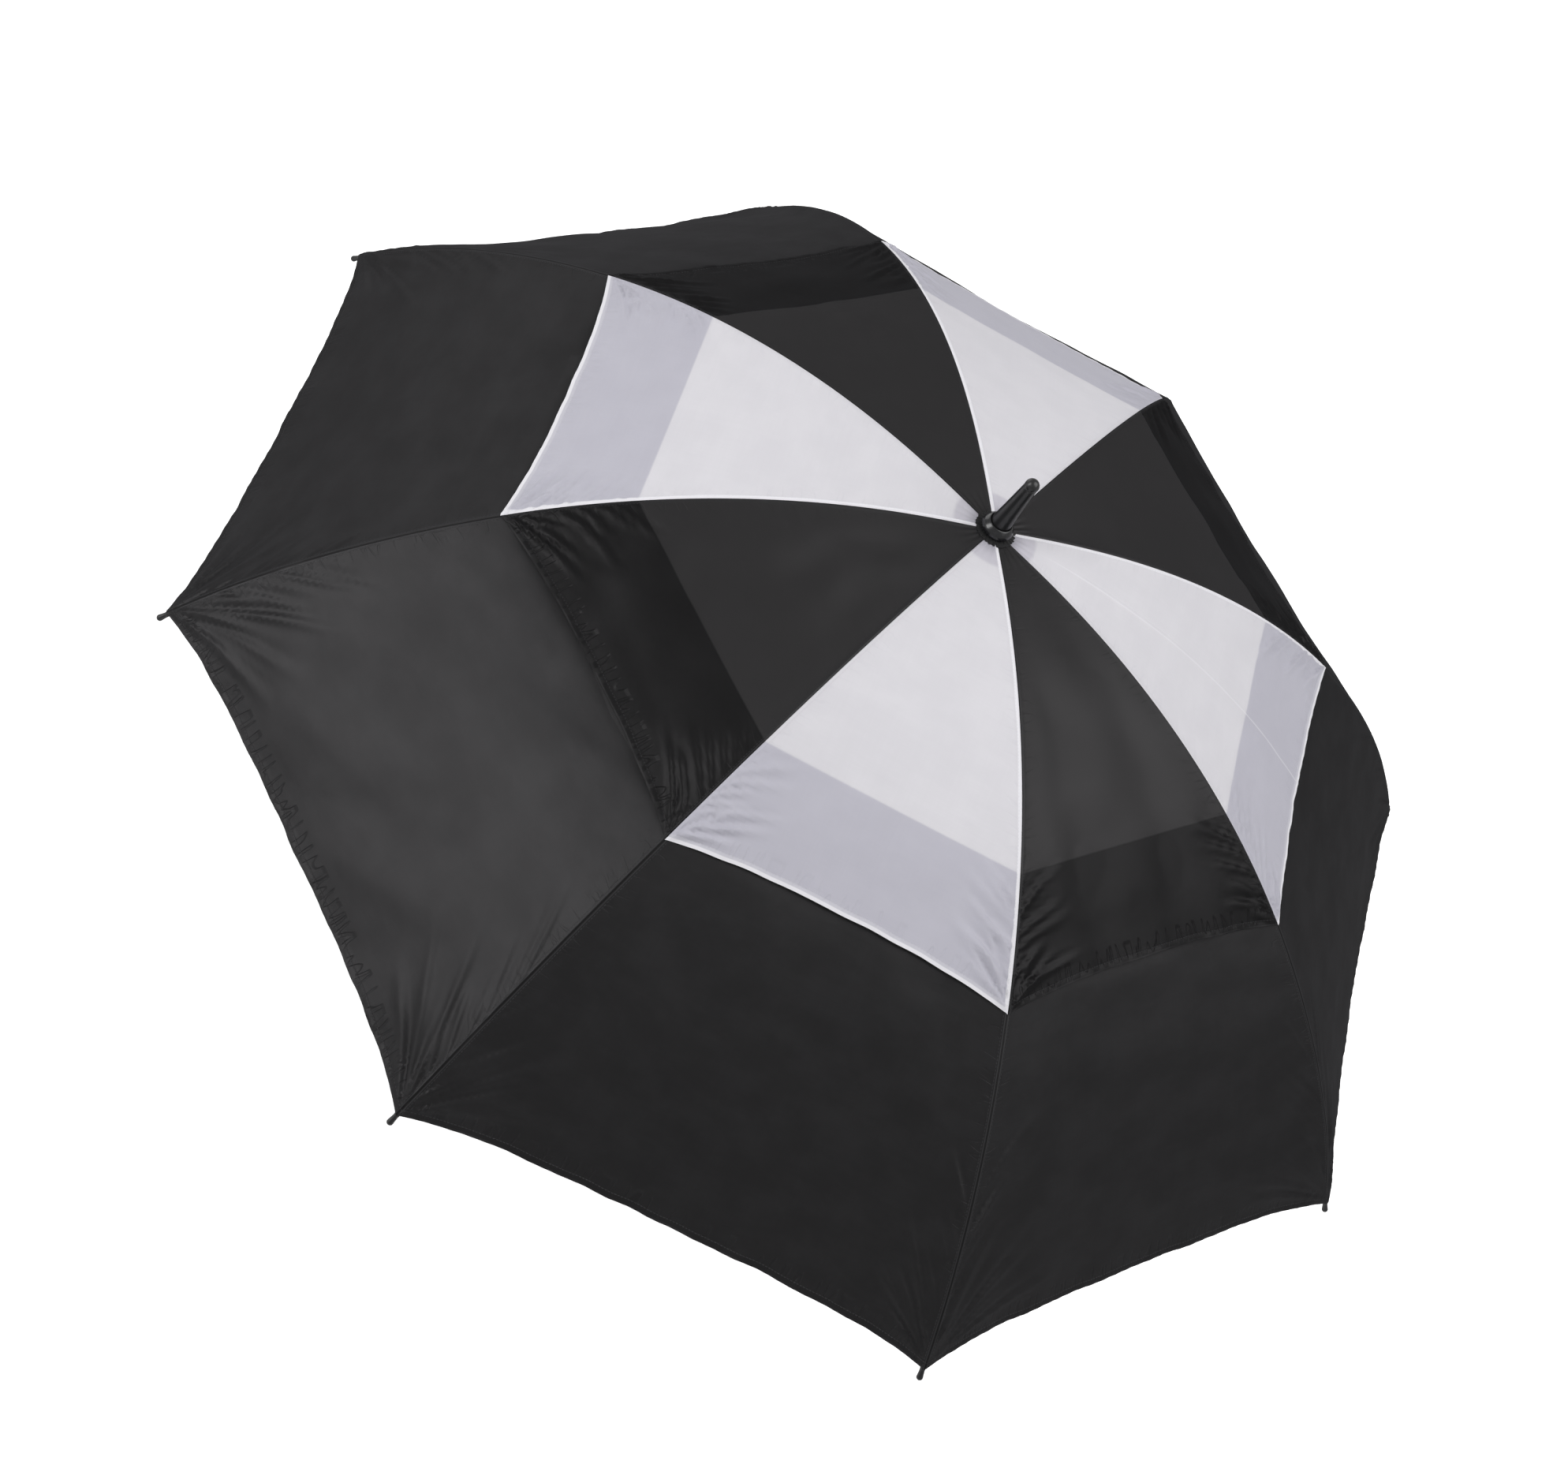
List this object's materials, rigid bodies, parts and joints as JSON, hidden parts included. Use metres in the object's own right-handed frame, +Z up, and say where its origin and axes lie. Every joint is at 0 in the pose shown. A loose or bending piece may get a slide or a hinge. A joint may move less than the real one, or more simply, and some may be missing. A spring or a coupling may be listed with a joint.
{
  "type": "golf umbrella",
  "caption": "Large vented golf umbrella, open, with a straight grip, straight shaft, sliding runner, folding ribs and a two-layer black and white canopy.",
  "frame": {"origin": "centre of the hand grip's end face", "axes": "+Z up the shaft towards the ferrule, +X along rib 1; ribs are numbered anticlockwise seen from above and panel N lies between rib N and rib N+1"},
  "size_m": [1.3052, 1.3052, 1.009],
  "materials": {
    "fibreglass_black": "satin pultruded fibreglass",
    "foam_grip": "matte closed-cell foam",
    "black_plastic": "moulded satin",
    "gloss_plastic": "moulded gloss",
    "steel": "plated",
    "canopy_black": "satin pongee",
    "canopy_white": "satin pongee"
  },
  "bodies": {
    "root": {"shaft": "fibreglass_black", "handle_grip": "foam_grip", "handle_end_cap": "black_plastic", "ferrule": "black_plastic", "crown": "black_plastic", "crown_wire": "steel", "crown_cap": "gloss_plastic", "rosette": "canopy_black"},
    "top_catch": {"top_catch": "steel"},
    "bottom_catch": {"bottom_catch": "steel"},
    "runner": {"runner": "black_plastic", "runner_wire": "steel"},
    "rib_1": {"rib_1": "fibreglass_black", "upper_panel_1": "canopy_black"},
    "rib_outer_1": {"rib_outer_1": "fibreglass_black", "tip_cap_1": "black_plastic", "lower_panel_1": "canopy_black"},
    "stretcher_1": {"stretcher_1": "fibreglass_black"},
    "rib_2": {"rib_2": "fibreglass_black", "upper_panel_2": "canopy_white"},
    "rib_outer_2": {"rib_outer_2": "fibreglass_black", "tip_cap_2": "black_plastic", "lower_panel_2": "canopy_black"},
    "stretcher_2": {"stretcher_2": "fibreglass_black"},
    "rib_3": {"rib_3": "fibreglass_black", "upper_panel_3": "canopy_black"},
    "rib_outer_3": {"rib_outer_3": "fibreglass_black", "tip_cap_3": "black_plastic", "lower_panel_3": "canopy_black"},
    "stretcher_3": {"stretcher_3": "fibreglass_black"},
    "rib_4": {"rib_4": "fibreglass_black", "upper_panel_4": "canopy_white"},
    "rib_outer_4": {"rib_outer_4": "fibreglass_black", "tip_cap_4": "black_plastic", "lower_panel_4": "canopy_black"},
    "stretcher_4": {"stretcher_4": "fibreglass_black"},
    "rib_5": {"rib_5": "fibreglass_black", "upper_panel_5": "canopy_black"},
    "rib_outer_5": {"rib_outer_5": "fibreglass_black", "tip_cap_5": "black_plastic", "lower_panel_5": "canopy_black"},
    "stretcher_5": {"stretcher_5": "fibreglass_black"},
    "rib_6": {"rib_6": "fibreglass_black", "upper_panel_6": "canopy_white"},
    "rib_outer_6": {"rib_outer_6": "fibreglass_black", "tip_cap_6": "black_plastic", "lower_panel_6": "canopy_black"},
    "stretcher_6": {"stretcher_6": "fibreglass_black"},
    "rib_7": {"rib_7": "fibreglass_black", "upper_panel_7": "canopy_black"},
    "rib_outer_7": {"rib_outer_7": "fibreglass_black", "tip_cap_7": "black_plastic", "lower_panel_7": "canopy_black"},
    "stretcher_7": {"stretcher_7": "fibreglass_black"},
    "rib_8": {"rib_8": "fibreglass_black", "upper_panel_8": "canopy_white"},
    "rib_outer_8": {"rib_outer_8": "fibreglass_black", "tip_cap_8": "black_plastic", "lower_panel_8": "canopy_black"},
    "stretcher_8": {"stretcher_8": "fibreglass_black"}
  },
  "joints": [
    {"name": "rib_1_fold", "type": "hinge", "parent": "root", "child": "rib_1", "pos_m": [0.0115, 0, 0.93], "axis": [0, 1, 0], "range_deg": [0, 70], "deforming": ["upper_panel_1"]},
    {"name": "rib_1_flex", "type": "hinge", "parent": "rib_1", "child": "rib_outer_1", "pos_m": [0.41865, 0, 0.82735], "axis": [0, 1, 0], "range_deg": [-32, 0], "deforming": ["lower_panel_1"]},
    {"name": "stretcher_1_pivot", "type": "hinge", "parent": "rib_1", "child": "stretcher_1", "pos_m": [0.34832, 0, 0.85839], "axis": [0, 1, 0], "range_deg": [-140.5, 0]},
    {"name": "rib_2_fold", "type": "hinge", "parent": "root", "child": "rib_2", "pos_m": [0.00813, 0.00813, 0.93], "axis": [-0.7071, 0.7071, 0], "range_deg": [0, 70], "deforming": ["upper_panel_2"]},
    {"name": "rib_2_flex", "type": "hinge", "parent": "rib_2", "child": "rib_outer_2", "pos_m": [0.29603, 0.29603, 0.82735], "axis": [-0.7071, 0.7071, 0], "range_deg": [-32, 0], "deforming": ["lower_panel_2"]},
    {"name": "stretcher_2_pivot", "type": "hinge", "parent": "rib_2", "child": "stretcher_2", "pos_m": [0.2463, 0.2463, 0.85839], "axis": [-0.7071, 0.7071, 0], "range_deg": [-140.5, 0]},
    {"name": "rib_3_fold", "type": "hinge", "parent": "root", "child": "rib_3", "pos_m": [0, 0.0115, 0.93], "axis": [-1, 0, 0], "range_deg": [0, 70], "deforming": ["upper_panel_3"]},
    {"name": "rib_3_flex", "type": "hinge", "parent": "rib_3", "child": "rib_outer_3", "pos_m": [0, 0.41865, 0.82735], "axis": [-1, 0, 0], "range_deg": [-32, 0], "deforming": ["lower_panel_3"]},
    {"name": "stretcher_3_pivot", "type": "hinge", "parent": "rib_3", "child": "stretcher_3", "pos_m": [0, 0.34832, 0.85839], "axis": [-1, 0, 0], "range_deg": [-140.5, 0]},
    {"name": "rib_4_fold", "type": "hinge", "parent": "root", "child": "rib_4", "pos_m": [-0.00813, 0.00813, 0.93], "axis": [-0.7071, -0.7071, 0], "range_deg": [0, 70], "deforming": ["upper_panel_4"]},
    {"name": "rib_4_flex", "type": "hinge", "parent": "rib_4", "child": "rib_outer_4", "pos_m": [-0.29603, 0.29603, 0.82735], "axis": [-0.7071, -0.7071, 0], "range_deg": [-32, 0], "deforming": ["lower_panel_4"]},
    {"name": "stretcher_4_pivot", "type": "hinge", "parent": "rib_4", "child": "stretcher_4", "pos_m": [-0.2463, 0.2463, 0.85839], "axis": [-0.7071, -0.7071, 0], "range_deg": [-140.5, 0]},
    {"name": "rib_5_fold", "type": "hinge", "parent": "root", "child": "rib_5", "pos_m": [-0.0115, 0, 0.93], "axis": [0, -1, 0], "range_deg": [0, 70], "deforming": ["upper_panel_5"]},
    {"name": "rib_5_flex", "type": "hinge", "parent": "rib_5", "child": "rib_outer_5", "pos_m": [-0.41865, 0, 0.82735], "axis": [0, -1, 0], "range_deg": [-32, 0], "deforming": ["lower_panel_5"]},
    {"name": "stretcher_5_pivot", "type": "hinge", "parent": "rib_5", "child": "stretcher_5", "pos_m": [-0.34832, 0, 0.85839], "axis": [0, -1, 0], "range_deg": [-140.5, 0]},
    {"name": "rib_6_fold", "type": "hinge", "parent": "root", "child": "rib_6", "pos_m": [-0.00813, -0.00813, 0.93], "axis": [0.7071, -0.7071, 0], "range_deg": [0, 70], "deforming": ["upper_panel_6"]},
    {"name": "rib_6_flex", "type": "hinge", "parent": "rib_6", "child": "rib_outer_6", "pos_m": [-0.29603, -0.29603, 0.82735], "axis": [0.7071, -0.7071, 0], "range_deg": [-32, 0], "deforming": ["lower_panel_6"]},
    {"name": "stretcher_6_pivot", "type": "hinge", "parent": "rib_6", "child": "stretcher_6", "pos_m": [-0.2463, -0.2463, 0.85839], "axis": [0.7071, -0.7071, 0], "range_deg": [-140.5, 0]},
    {"name": "rib_7_fold", "type": "hinge", "parent": "root", "child": "rib_7", "pos_m": [0, -0.0115, 0.93], "axis": [1, 0, 0], "range_deg": [0, 70], "deforming": ["upper_panel_7"]},
    {"name": "rib_7_flex", "type": "hinge", "parent": "rib_7", "child": "rib_outer_7", "pos_m": [0, -0.41865, 0.82735], "axis": [1, 0, 0], "range_deg": [-32, 0], "deforming": ["lower_panel_7"]},
    {"name": "stretcher_7_pivot", "type": "hinge", "parent": "rib_7", "child": "stretcher_7", "pos_m": [0, -0.34832, 0.85839], "axis": [1, 0, 0], "range_deg": [-140.5, 0]},
    {"name": "rib_8_fold", "type": "hinge", "parent": "root", "child": "rib_8", "pos_m": [0.00813, -0.00813, 0.93], "axis": [0.7071, 0.7071, 0], "range_deg": [0, 70], "deforming": ["upper_panel_8"]},
    {"name": "rib_8_flex", "type": "hinge", "parent": "rib_8", "child": "rib_outer_8", "pos_m": [0.29603, -0.29603, 0.82735], "axis": [0.7071, 0.7071, 0], "range_deg": [-32, 0], "deforming": ["lower_panel_8"]},
    {"name": "stretcher_8_pivot", "type": "hinge", "parent": "rib_8", "child": "stretcher_8", "pos_m": [0.2463, -0.2463, 0.85839], "axis": [0.7071, 0.7071, 0], "range_deg": [-140.5, 0]},
    {"name": "runner_pivot", "type": "hinge", "parent": "stretcher_1", "child": "runner", "pos_m": [0.0115, 0, 0.78678], "axis": [0, 1, 0], "range_deg": [0, 70.5]},
    {"name": "top_catch_press", "type": "hinge", "parent": "root", "child": "top_catch", "pos_m": [0.00499, 0.00207, 0.69278], "axis": [-0.3827, 0.9239, 0], "range_deg": [-4, 0], "stiffness_Nm_per_rad": 0.05},
    {"name": "bottom_catch_press", "type": "hinge", "parent": "root", "child": "bottom_catch", "pos_m": [0.00499, 0.00207, 0.177], "axis": [-0.3827, 0.9239, 0], "range_deg": [-4, 0], "stiffness_Nm_per_rad": 0.05}
  ],
  "couplings": [
    {"joint": "rib_1_flex", "follows": "rib_1_fold", "ratio": -0.45},
    {"joint": "stretcher_1_pivot", "follows": "rib_1_fold", "ratio": -2},
    {"joint": "rib_2_fold", "follows": "rib_1_fold", "ratio": 1},
    {"joint": "rib_2_flex", "follows": "rib_1_fold", "ratio": -0.45},
    {"joint": "stretcher_2_pivot", "follows": "rib_1_fold", "ratio": -2},
    {"joint": "rib_3_fold", "follows": "rib_1_fold", "ratio": 1},
    {"joint": "rib_3_flex", "follows": "rib_1_fold", "ratio": -0.45},
    {"joint": "stretcher_3_pivot", "follows": "rib_1_fold", "ratio": -2},
    {"joint": "rib_4_fold", "follows": "rib_1_fold", "ratio": 1},
    {"joint": "rib_4_flex", "follows": "rib_1_fold", "ratio": -0.45},
    {"joint": "stretcher_4_pivot", "follows": "rib_1_fold", "ratio": -2},
    {"joint": "rib_5_fold", "follows": "rib_1_fold", "ratio": 1},
    {"joint": "rib_5_flex", "follows": "rib_1_fold", "ratio": -0.45},
    {"joint": "stretcher_5_pivot", "follows": "rib_1_fold", "ratio": -2},
    {"joint": "rib_6_fold", "follows": "rib_1_fold", "ratio": 1},
    {"joint": "rib_6_flex", "follows": "rib_1_fold", "ratio": -0.45},
    {"joint": "stretcher_6_pivot", "follows": "rib_1_fold", "ratio": -2},
    {"joint": "rib_7_fold", "follows": "rib_1_fold", "ratio": 1},
    {"joint": "rib_7_flex", "follows": "rib_1_fold", "ratio": -0.45},
    {"joint": "stretcher_7_pivot", "follows": "rib_1_fold", "ratio": -2},
    {"joint": "rib_8_fold", "follows": "rib_1_fold", "ratio": 1},
    {"joint": "rib_8_flex", "follows": "rib_1_fold", "ratio": -0.45},
    {"joint": "stretcher_8_pivot", "follows": "rib_1_fold", "ratio": -2},
    {"joint": "runner_pivot", "follows": "rib_1_fold", "ratio": 1}
  ]
}
